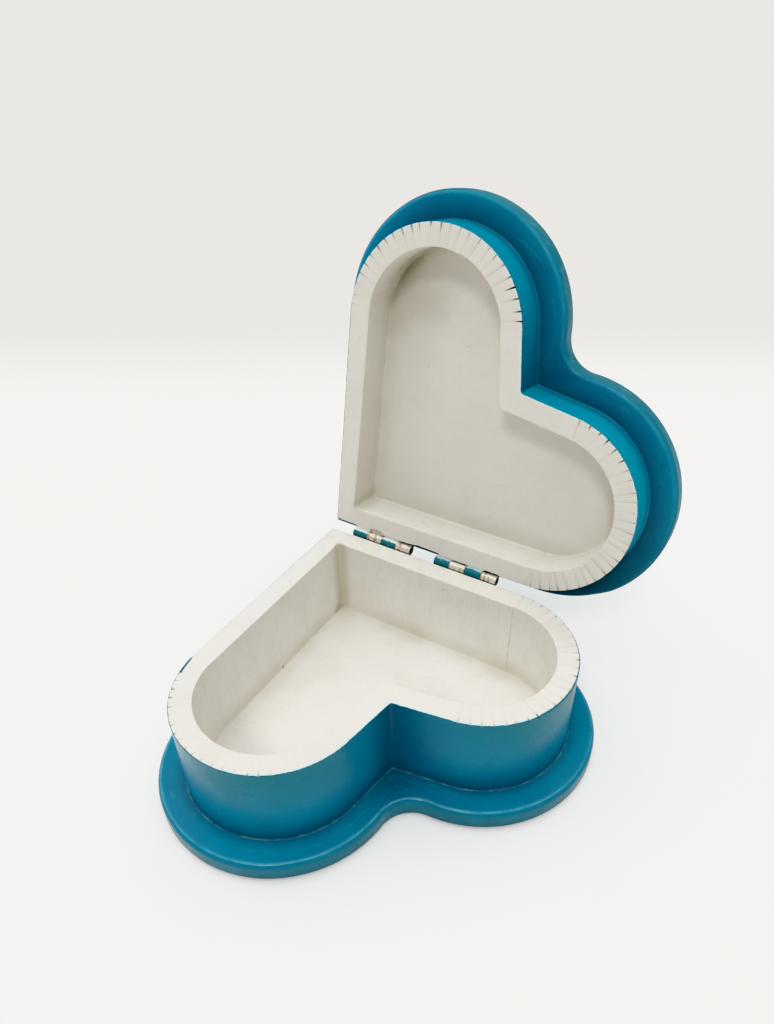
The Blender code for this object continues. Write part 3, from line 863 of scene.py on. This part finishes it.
class Kerfs:
    """The saw kerfs of one lobe as arrays: place, half width, length, slant and strengths.

    openness and lines are (share of the lobe, strength) points. The wedges and the thin lines
    take their strengths from them, straight from point to point, and wander a little.
    """

    def __init__(self, rng, length, line_reach, openness, lines):
        self.line_reach = line_reach
        even = (np.arange(KERF_COUNT) + 0.4) / KERF_COUNT
        self.place = even + rng.uniform(-0.005, 0.005, KERF_COUNT)
        self.half_width = KERF_WIDTH / 2.0 * rng.uniform(0.65, 1.2, KERF_COUNT)
        self.length = length * rng.uniform(0.6, 1.3, KERF_COUNT)
        self.slant = rng.uniform(-0.1, 0.1, KERF_COUNT)
        self.open = np.interp(self.place, *zip(*openness)) * rng.uniform(0.55, 1.15, KERF_COUNT)
        self.line = np.interp(self.place, *zip(*lines)) * rng.uniform(0.4, 1.15, KERF_COUNT)

    def stations(self):
        """Stations packed round each kerf, so that the grid can carry its narrow shape."""
        near = np.array([0.0, 0.33, 0.66, 1.0, 1.4, 2.1, 3.2])
        near = np.append(-near, near) / (LOBE_RADIUS * LOBE_SWEEP)
        return (2.0 + self.place[:, None] + near * self.half_width[:, None]).ravel()

    def wedge(self, run, across):
        """Strength of the open wedge, the thin line and the groove at (along, in from outside).

        The first two fall off straight from the kerf's middle line: the wedge narrows and fades
        with the distance in, and the line goes on to the inner edge at a third of the width. The
        groove is a bell exp(-(shift / width)^2) about the line.
        """
        run, across = [values[..., None] for values in np.broadcast_arrays(run, across)]
        shift = run - self.place * LOBE_RADIUS * LOBE_SWEEP - self.slant * across
        taper = unit(1.0 - across / self.length)
        ramp = unit(1.0 - np.abs(shift) / (self.half_width * (0.3 + 0.7 * taper)))
        fade = unit(1.15 - across / self.line_reach)
        return [strengths.max(-1) for strengths in (
            ramp ** 0.6 * taper ** 0.5 * self.open, ramp * fade * self.line,
            bell(shift, 0.0, GROOVE_WIDTH) * self.line)]


def strip_stations(kerfs, seam):
    """Stations of a strip's columns: close in the lobe, and closer still at kerfs and seam."""
    runs = [spread(0.0, 1.0, 8), spread(1.0, 2.0, 61), spread(2.0, 3.0, 181), spread(3.0, 4.0, 25),
            spread(4.0, 5.0, 11), kerfs.stations()]
    if seam:
        runs.append(2.0 + CRACK_REACH * spread(-1.0, 1.0, 5))
    return np.unique(np.clip(np.concatenate(runs), 0.0, 5.0).round(6))


def wall_marks(lid, right, station, along, inset, level, height, cleft, line_from):
    """How a strip's paint varies by row and column, apart from its kerfs, as in wall_paint.

    cleft is the strength and the reach of the navy painted as shade there, and how much it dulls
    the teal painted lighter near the rim. The painted highlight along the rim's outer edge comes
    in from the station line_from. The lid's left strip is painted darker inside as shade, most
    of all low down in the lobe.
    """
    inner, share, end = inset > INNER_FACE, level / height, along[-1]
    crevice_shade, reach, dulled = cleft
    # Painted sheen and light: high grows towards the rim, from the foot on the lid and from about a
    # quarter of the way up on the base, and is dulled near the cleft.
    high = np.clip(3.0 * share - 0.1 if lid else 1.45 * share - 0.4, 0.0, 0.9)
    # Painted shade: the inside of the lid's left strip is darkened, most low down in the lobe.
    grime = (0.8 * bell(station, 2.28, 0.26) * np.exp(-level / 0.0055)
             + 0.13 * unit((2.35 - station) / 0.45))
    # Painted light: coat is 1 on the base and on the inner face of the lid's hinge-side strip.
    return {"rise": level, "inset": inset, "lit": lid, "lighter_cream": inner & right if lid else 1.0,
            # Painted shade: navy low on the outer face, and round the cleft with its strength and
            # reach.
            "crevice_shade": np.maximum((0.25 if lid else 0.8) * unit(1.0 - 2.6 * share),
                               crevice_shade * bell(along, end, reach)),
            "high": high * (1.0 - dulled * bell(along, end, 0.03 if lid else 0.022)),
            # Painted highlight: outer_joint marks the outer foot's fillet rows, where a pale line
            # is painted.
            "outer_joint": (0.2 if lid else 0.7) * (inset < 0.0001) * (level < FOOT_ROWS_END),
            # Painted highlight: rimline sets how strongly the pale line along the rim's outer edge
            # is painted.
            "rimline": (0.75 if lid else 0.9) * unit((station - line_from) / 0.22),
            "grime": grime * inner * (lid and not right)}


def make_wall(material, node, seed, cleft, line_from, openness, lines, overrun, seam=False):
    """A kerf-bent strip: its section is carried from the tip's mitre to the cleft's.

    The left strip is the right one's mirror image. A lid strip is worked out closed: it hangs
    rim down from the lid board. overrun is (metres along, reach) points of the teal brushed onto
    the rim, and seam is true where the inside has an open crack at the start of the lobe.
    Between kerfs the rim steps up or down a hair, and the inner face is flattened. wall_marks
    says what cleft and line_from are.
    """
    lid, right = node.startswith("lid"), node.endswith("right")
    foot, height, up, kerf_length, line_reach, lift = (
        (LID_RIM + LID_WALL_HEIGHT, LID_WALL_HEIGHT, -1.0, KERF_LENGTH, WALL, 1.0) if lid else
        (BOARD_HEIGHT, RIM - BOARD_HEIGHT, 1.0, 0.6 * KERF_LENGTH, 0.58 * WALL, 0.4))
    rng = np.random.default_rng(seed)
    kerfs = Kerfs(rng, kerf_length, line_reach, openness, lines)
    station = strip_stations(kerfs, seam)
    inset, level, around = wall_section(height)
    along = distance_along(*strip_place(station, 0.0 * station))
    on_lobe = (station >= 2.0) & (station <= 3.0)
    at_rim = unit(1.0 - (height - level) / 0.0009) * (inset < WALL * 0.98)
    run = along - np.interp(2.0, station, along)
    wedge, score, groove = [value * at_rim * on_lobe
                            for value in kerfs.wedge(run, np.clip(inset, 0.0, WALL))]
    block = np.searchsorted(kerfs.place + 2.0, station)
    block_tone = rng.uniform(0.0, 1.0, KERF_COUNT + 1)[block] * on_lobe
    block_lift = rng.uniform(-0.00007, 0.00007, KERF_COUNT + 1)[block] * lift
    nick = 0.00004 * ripple(along, 0.0, 0.0, 0.0043)
    rim_row, inner = level > height - 2.0 * RIM_ROUNDING, inset > INNER_FACE
    sink = (wedge * KERF_DEPTH + score * SCORE_DEPTH + groove * GROOVE_DEPTH
            - (block_lift + nick) * on_lobe * rim_row)
    middles = (np.append(kerfs.place, 1.0) + np.append(0.0, kerfs.place)) / 2.0
    facet = np.abs(station - 2.0 - middles[block]) * KERF_COUNT * 2.0 * on_lobe
    jagged = 0.55 + 0.45 * np.sin(level / 0.0011)
    crack = (unit(1.0 - np.abs(station - 2.0) / CRACK_REACH) * jagged * inner
             * (level > FOOT_FILLET * 1.5) * seam)
    uneven = 0.00008 * ripple(along, 0.6 * level, 0.0, 0.037) * unit(1.0 - inset / WALL)
    x, y = strip_place(station, inset + uneven - 0.00007 * facet * inner - CRACK_DEPTH * crack)
    if not right:
        x, y = mirrored(x, y)
    points = placed(x, y, foot + up * (level - sink))
    marks = {"kerf": unit(wedge * 1.2), "score": unit(score * 0.75 + 0.45 * crack),
             "block": block_tone * ((inset > 0.0) & rim_row), "groove": groove * rim_row,
             "overrun": np.interp(along, *zip(*overrun)),
             **wall_marks(lid, right, station, along, inset, level, height, cleft, line_from)}
    marks = {label: np.broadcast_to(mark, x.shape) for label, mark in marks.items()}
    piece = make_piece(f"{node}_painted", opened(points) if lid else points,
                       strip_faces(*x.shape, flip=right != lid), material,
                       uv=placed(along, around), **marks)
    stand_for(piece, "lid" if lid else "base", "teal_and_cream_painted_wood", node)


def make_walls():
    """The four strips. The lid's kerfs stand more open than the base's, whose paint fills them."""
    paint = wall_paint()
    make_wall(
        paint, "base_wall_right", 11, (0.85, 0.015, 0.95), 2.35,
        ((0.0, 0.25), (0.12, 0.85), (0.5, 1.1), (0.62, 0.95), (0.75, 0.75), (0.85, 0.5),
         (1.0, 0.25)),
        ((0.0, 0.6), (0.3, 0.6), (0.6, 0.85), (0.8, 0.85), (1.0, 0.45)),
        ((0.0, 0.0), (0.098, 0.0), (0.115, 0.00022), (0.145, 0.00024), (0.152, 0.0)), seam=True)
    make_wall(
        paint, "base_wall_left", 12, (0.85, 0.012, 0.95), 2.42,
        ((0.06, 0.0), (0.09, 0.95), (0.26, 0.75), (0.34, 0.5), (0.58, 0.45), (0.7, 0.6),
         (0.8, 0.15), (1.0, 0.05)),
        ((0.0, 0.3), (0.2, 0.2), (0.34, 0.14), (0.5, 0.18), (0.7, 0.42), (1.0, 0.3)),
        ((0.0, 0.00018), (0.06, 0.00015), (0.0815, 0.0001), (0.0835, 0.0008), (0.0885, 0.0009),
         (0.0905, 0.00015), (0.11, 0.0001), (0.13, 0.0)))
    make_wall(
        paint, "lid_wall_right", 13, (0.15, 0.015, 0.15), 2.35,
        ((0.0, 0.3), (0.15, 0.35), (0.3, 0.3), (0.45, 0.35), (0.6, 0.15), (0.72, 0.25),
         (0.79, 0.75), (0.93, 0.75), (1.0, 0.25)),
        ((0.0, 0.9), (0.5, 1.0), (0.65, 0.8), (0.8, 0.4), (1.0, 0.3)),
        ((0.0088, 0.0008), (0.0092, -0.0003), (0.0284, -0.0003), (0.0288, 0.0003), (0.0344, 0.0006),
         (0.0352, 0.001), (0.045, 0.0008), (0.0456, -0.0003), (0.064, -0.0003), (0.0644, 0.0006),
         (0.07, 0.0006), (0.0704, -0.0003), (0.082, -0.0003), (0.09, 0.0)))
    make_wall(
        paint, "lid_wall_left", 14, (0.62, 0.028, 0.95), 2.0,
        ((0.0, 0.12), (0.08, 0.35), (0.2, 0.6), (0.3, 0.65), (0.46, 0.7), (0.55, 0.35),
         (0.62, 0.15), (0.74, 0.3), (0.8, 0.6), (0.86, 1.1), (1.0, 1.05)),
        ((0.0, 0.4), (0.4, 0.5), (0.5, 0.9), (0.8, 0.9), (1.0, 0.4)),
        ((0.0, 0.0003), (0.08, 0.00028), (0.09, 0.0001), (0.11, 0.0)))


# ---------------------------------------------------------------- hinges

def leaf_sheet(width):
    """Back and front of a leaf's section in (y, z) from the pin: a flat run, then a roll."""
    turn = math.pi - spread(0.0, ROLL, 41)
    roll = np.stack([np.cos(turn), np.sin(turn)], -1)
    flat = np.array([[-KNUCKLE_RADIUS, -width], [-KNUCKLE_RADIUS, -KNUCKLE_RADIUS - KNUCKLE_GAP]])
    return [np.concatenate([flat + (thickness, 0.0), (KNUCKLE_RADIUS - thickness) * roll])
            for thickness in (0.0, LEAF_THICKNESS)]


def knuckle_spans(label, first):
    """Where a leaf's knuckles start and stop along X: every other one of the hinge's."""
    low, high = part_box(f"hinge_{label}_base_leaf")
    pitch = (high.x - low.x + KNUCKLE_GAP) / KNUCKLE_COUNT
    starts = low.x + pitch * np.arange(first, KNUCKLE_COUNT, 2)
    return low, high, starts, starts + pitch - KNUCKLE_GAP


def sheet_faces(cells):
    """Faces of a sheet with thickness, whose cells are true where it isn't cut away.

    The front's points follow the back's, and each bare side of a cell gets a face between them.
    """
    stations, columns = cells.shape[0] + 1, cells.shape[1] + 1
    front = stations * columns
    back = grid_faces(stations, columns)[cells.ravel()]
    faces = [back, back[:, ::-1] + front]
    row, column = np.nonzero(cells)
    padded = np.pad(cells, 1)
    for side, (down, across) in enumerate(((-1, 0), (0, 1), (1, 0), (0, -1))):
        bare = ~padded[row + 1 + down, column + 1 + across]
        a, b = back[bare, side], back[bare, (side + 1) % 4]
        faces.append(np.stack([b, a, a + front, b + front], -1))
    return np.concatenate(faces)


def make_leaf(label, part, burns, material, slot):
    """A hinge leaf: a sheet with thickness on a grid of cells, left out where it is notched.

    The roll springs open a little towards its free edge, by a smooth step of the way round.
    burns are shares of the first and the second knuckle's length where the brass is browned,
    each as a bell along the hinge.
    """
    node, lid = f"hinge_{label}_{part}_leaf", part == "lid"
    low, high, starts, stops = knuckle_spans(label, int(lid))
    starts = np.maximum(starts - KNUCKLE_SWELL, low.x)
    stops = np.minimum(stops + KNUCKLE_SWELL, high.x)
    fine = [spread(start, stop, 25) for start, stop in zip(starts, stops)]
    cuts = np.concatenate([[low.x, high.x], starts + 0.0001, stops - 0.0001, *fine])
    cuts = np.unique(cuts.round(7))
    sides = leaf_sheet(PIN[2] - low.z)
    stations = len(sides[0])
    middle = (cuts[:-1, None] + cuts[1:, None]) / 2.0
    cells = np.ones((stations - 1, len(cuts) - 1), bool)
    cells[1:] = ((middle > starts) & (middle < stops)).any(1)
    spring = unit(((np.arange(stations) - 2.0) / (stations - 3.0) - 0.72) / 0.28)[:, None]
    spring = ROLL_SPRING * spring ** 2 * (3.0 - 2.0 * spring)
    points = []
    for side in sides:
        side = side * (1.0 + spring / np.hypot(side[:, :1], side[:, 1:]))
        height = PIN[2] + side[:, 1:] * (-1.0 if lid else 1.0)
        points.append(placed(cuts, PIN[1] + side[:, :1], height))
    points = opened(points) if lid else np.array(points)
    # Painted shade: end is a little dark at each knuckle's end, full at the hinge's far end and 0.9
    # inside the roll.
    at_end = np.abs(cuts[:, None] - np.append(starts, stops)).min(1) < 1e-6
    end = np.zeros(points.shape[:-1]) + np.where(cuts > high.x - 1e-6, 1.0, 0.15) * at_end
    end[1, 3:] = np.maximum(end[1, 3:], 0.9)
    burn = 0.0 * end
    for start, stop, shares in zip(starts, stops, burns):
        for share in shares:
            burn = np.maximum(burn, bell(cuts, start + share * (stop - start), BROWN_BAND_WIDTH))
    faces = sheet_faces(cells)[:, ::-1 if lid else 1]
    used, faces = np.unique(faces, return_inverse=True)
    piece = make_piece(f"{node}_rolled", points.reshape(-1, 3)[used], faces.reshape(-1, 4),
                       material, sharp=35.0, end=end.ravel()[used], burn=burn.ravel()[used])
    soften = piece.modifiers.new("soft_edges", "BEVEL")
    soften.width = 0.00008
    soften.segments = 2
    soften.limit_method = "ANGLE"
    soften.angle_limit = math.radians(40.0)
    stand_for(piece, part, slot, node)


def make_lip(label, profile, shade, material):
    """The torn fin of the lid leaf that lies over the lid's rim at the first brass knuckle.

    profile is (share of the knuckle, height) points of the fin's ragged edge, straight from point
    to point. Closed, the fin is a thin plate level with the pin, in the gap between the two rims:
    its section is a flat loop of LIP_THICKNESS that thins to a third at the edge and starts inside
    the barrel. shade darkens it, fully along its root.
    """
    starts, stops = knuckle_spans(label, 1)[2:]
    share, height = np.array(profile).T
    corner = starts[0] + (stops[0] - starts[0]) * share
    x = np.concatenate([spread(a, b, 5) for a, b in zip(corner[:-1], corner[1:])])
    x = np.unique(x.round(7))
    reach = np.interp(x, corner, height)
    out = np.array([-0.35, 0.1, 0.45, 0.8, 1.0])
    thick = np.array([1.0, 1.0, 0.9, 0.7, 0.35]) * LIP_THICKNESS / 2.0
    out, thick = np.append(out, out[::-1])[:, None], np.append(thick, -thick[::-1])[:, None]
    y = PIN[1] - KNUCKLE_RADIUS - np.maximum(out, 0.0) * reach + np.where(out < 0.0, 0.0003, 0.0)
    points = opened(placed(x, y, PIN[2] + thick + LIP_DROP))
    dark = np.where(out < 0.2, max(shade, 0.35), shade) + 0.0 * reach
    piece = make_piece(f"hinge_{label}_lid_leaf_lip", points, strip_faces(*dark.shape, flip=True),
                       material, sharp=35.0, end=dark, burn=0.6 + 0.0 * dark)
    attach(piece, "lid")


def make_nail(node, body, material):
    """A nail turned about its axis: pointed shank, flat under the head and a low round dome."""
    low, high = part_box(node.replace("_lid_", "_base_"))
    middle = (low + high) / 2.0
    head = high.y - NAIL_HEAD_HEIGHT
    turn = spread(0.0, math.pi / 2.0, 8)
    radius = np.append([0.0, NAIL_RADIUS, NAIL_RADIUS], NAIL_HEAD_RADIUS * np.cos(turn))
    along = np.append([low.y, low.y + NAIL_RADIUS, head], head + NAIL_HEAD_HEIGHT * np.sin(turn))
    points, faces = turned(radius, along, 24)
    points = points[:, [0, 2, 1]] + (middle.x, 0.0, middle.z)
    if body == "lid":
        points[:, 2] = 2.0 * PIN[2] - points[:, 2]
        faces = [face[::-1] for face in faces]
        points = opened(points)
    piece = make_piece(f"{node}_turned", points, faces, material, sharp=50.0)
    stand_for(piece, body, "pin_and_nail_steel", node)


def make_hinge(label, paint, burns, brass, nails, pins):
    """Painted leaf and knuckles on the base, bare brass ones on the lid, four nails and a pin."""
    make_leaf(label, "base", ((), ()), painted_brass(label, *paint), "teal_painted_brass")
    make_leaf(label, "lid", burns, brass, "bare_brass")
    for part in ("base", "lid"):
        for number in (1, 2):
            make_nail(f"hinge_{label}_{part}_nail_{number}", part, nails)
    pin = frame["nodes"][f"hinge_{label}_pin"]
    pin.data.materials.clear()
    pin.data.materials.append(pins)


def make_hinges():
    """The two hinges, and the torn lips of their lid leaves."""
    metals = hinge_brass(), nail_steel(), pin_steel()
    make_hinge("left", ((0.03, 0.205, 0.24), (0.84, 0.9, 0.88), 0.0005), ((0.1, 0.55), (0.3,)),
               *metals)
    make_hinge("right", ((0.008, 0.18, 0.235), (0.58, 0.8, 0.83), 0.00105),
               ((0.75,), (0.05, 0.28)), *metals)
    make_lip(
        "left",
        ((0.02, 0.0012), (0.1, 0.0018), (0.38, 0.0016), (0.42, 0.0002), (0.47, 0.0002),
         (0.49, 0.0025), (0.54, 0.0023), (0.56, 0.0002), (0.6, 0.0002), (0.63, 0.0015),
         (0.93, 0.0018), (1.0, 0.0009)), 0.0, metals[0])
    make_lip(
        "right",
        ((0.04, 0.0001), (0.3, 0.0002), (0.78, 0.0001), (0.82, 0.0006), (0.92, 0.0006),
         (0.95, 0.0001)), 0.9, metals[0])


# ---------------------------------------------------------------- studio

def make_floor():
    """A wide pale disc with a soft tone change some way behind the box."""
    mix = Mix("floor_card")
    away = mix.vector("DOT_PRODUCT", mix.place, (-math.sin(HEADING), math.cos(HEADING), 0.0), 1)
    near = mix.blend(mix.mottle(0.12, 0.35, 0.7), (0.925, 0.915, 0.895), (0.91, 0.897, 0.875))
    card = mix.finish({
        "Base Color": mix.blend(mix.ease(away, 0.25, 0.385), near, (0.64, 0.622, 0.595)),
        "Roughness": 0.85, "Emission Color": (1.0, 0.99, 0.97, 1.0), "Emission Strength": 0.19})
    radius = chained(spread(0.0, 0.8, 41), spread(0.8, 6.0, 21))
    make_piece("floor", *turned(radius, -0.00005, 96), card)


def make_backdrop():
    """A dome far round the floor that only the camera sees, so it shades and lights nothing."""
    mix = Mix("backdrop_paper")
    height = mix.put("SeparateXYZ", {0: mix.place}, 2)
    rise = mix.add(mix.ease(height, 0.0, 2.2, 0.0, 0.7), mix.mottle(1.4, 0.35, 0.7, 0.0, 0.3))
    paper = mix.finish({
        "Emission Color": mix.blend(rise, (0.86, 0.85, 0.83), (0.76, 0.75, 0.735)),
        "Emission Strength": 1.0, "Base Color": (0.0, 0.0, 0.0, 1.0), "Specular IOR Level": 0.0})
    tilt = spread(0.0, math.pi / 2.0, 25)
    dome = turned(5.9 * np.cos(tilt), 5.9 * np.sin(tilt) - 0.02, 96)
    backdrop = make_piece("backdrop", *dome, paper)
    backdrop.visible_diffuse = backdrop.visible_glossy = backdrop.visible_shadow = False
    backdrop.visible_transmission = backdrop.visible_volume_scatter = False


def light_studio():
    """Soft surroundings, a very broad light overhead, a small one in front and broad fills.

    Each is a lamp so far off that it lights every place alike: where it stands, how strong it is
    and how wide it looks, in degrees.
    """
    world = bpy.data.worlds.new("soft_room")
    world.use_nodes = True
    background = world.node_tree.nodes["Background"]
    background.inputs["Color"].default_value = (1.0, 0.98, 0.95, 1.0)
    background.inputs["Strength"].default_value = 0.17
    bpy.context.scene.world = world
    for name, towards, strength, width in (
            ("overhead", (-0.05, 0.12, 1.0), 1.56, 75.0),
            ("key", (0.15, -0.62, 0.77), 0.74, 12.0),
            ("left_fill", (-0.9, -0.05, 0.45), 0.8, 60.0),
            ("right_fill", (0.8, -0.1, 0.6), 0.3, 60.0),
            ("back_fill", (-0.1, 0.8, 0.6), 0.36, 60.0)):
        data = bpy.data.lights.new(name, "SUN")
        data.energy = strength
        data.angle = math.radians(width)
        lamp = bpy.data.objects.new(name, data)
        lamp.rotation_mode = "QUATERNION"
        lamp.rotation_quaternion = Vector(towards).to_track_quat("Z", "Y")
        bpy.context.scene.collection.objects.link(lamp)
    bpy.context.scene.view_settings.view_transform = "Khronos PBR Neutral"


def aim_camera():
    """Camera to the right and in front of the box, looking down on it."""
    dip, roll = math.radians(39.87), math.radians(-0.22)
    data = bpy.data.cameras.new("camera")
    data.sensor_width = 36.0
    data.lens = 27.79
    data.shift_x = -0.0183
    data.shift_y = 0.0641
    data.clip_start = 0.01
    data.clip_end = 20.0
    camera = bpy.data.objects.new("camera", data)
    turn = (Matrix.Rotation(HEADING, 4, "Z") @ Matrix.Rotation(math.pi / 2.0 - dip, 4, "X")
            @ Matrix.Rotation(roll, 4, "Z"))
    camera.matrix_world = Matrix.Translation((0.09624, -0.14746, 0.22573)) @ turn
    bpy.context.scene.collection.objects.link(camera)
    bpy.context.scene.camera = camera


make_boards()
make_walls()
make_hinges()
make_floor()
make_backdrop()
light_studio()
aim_camera()
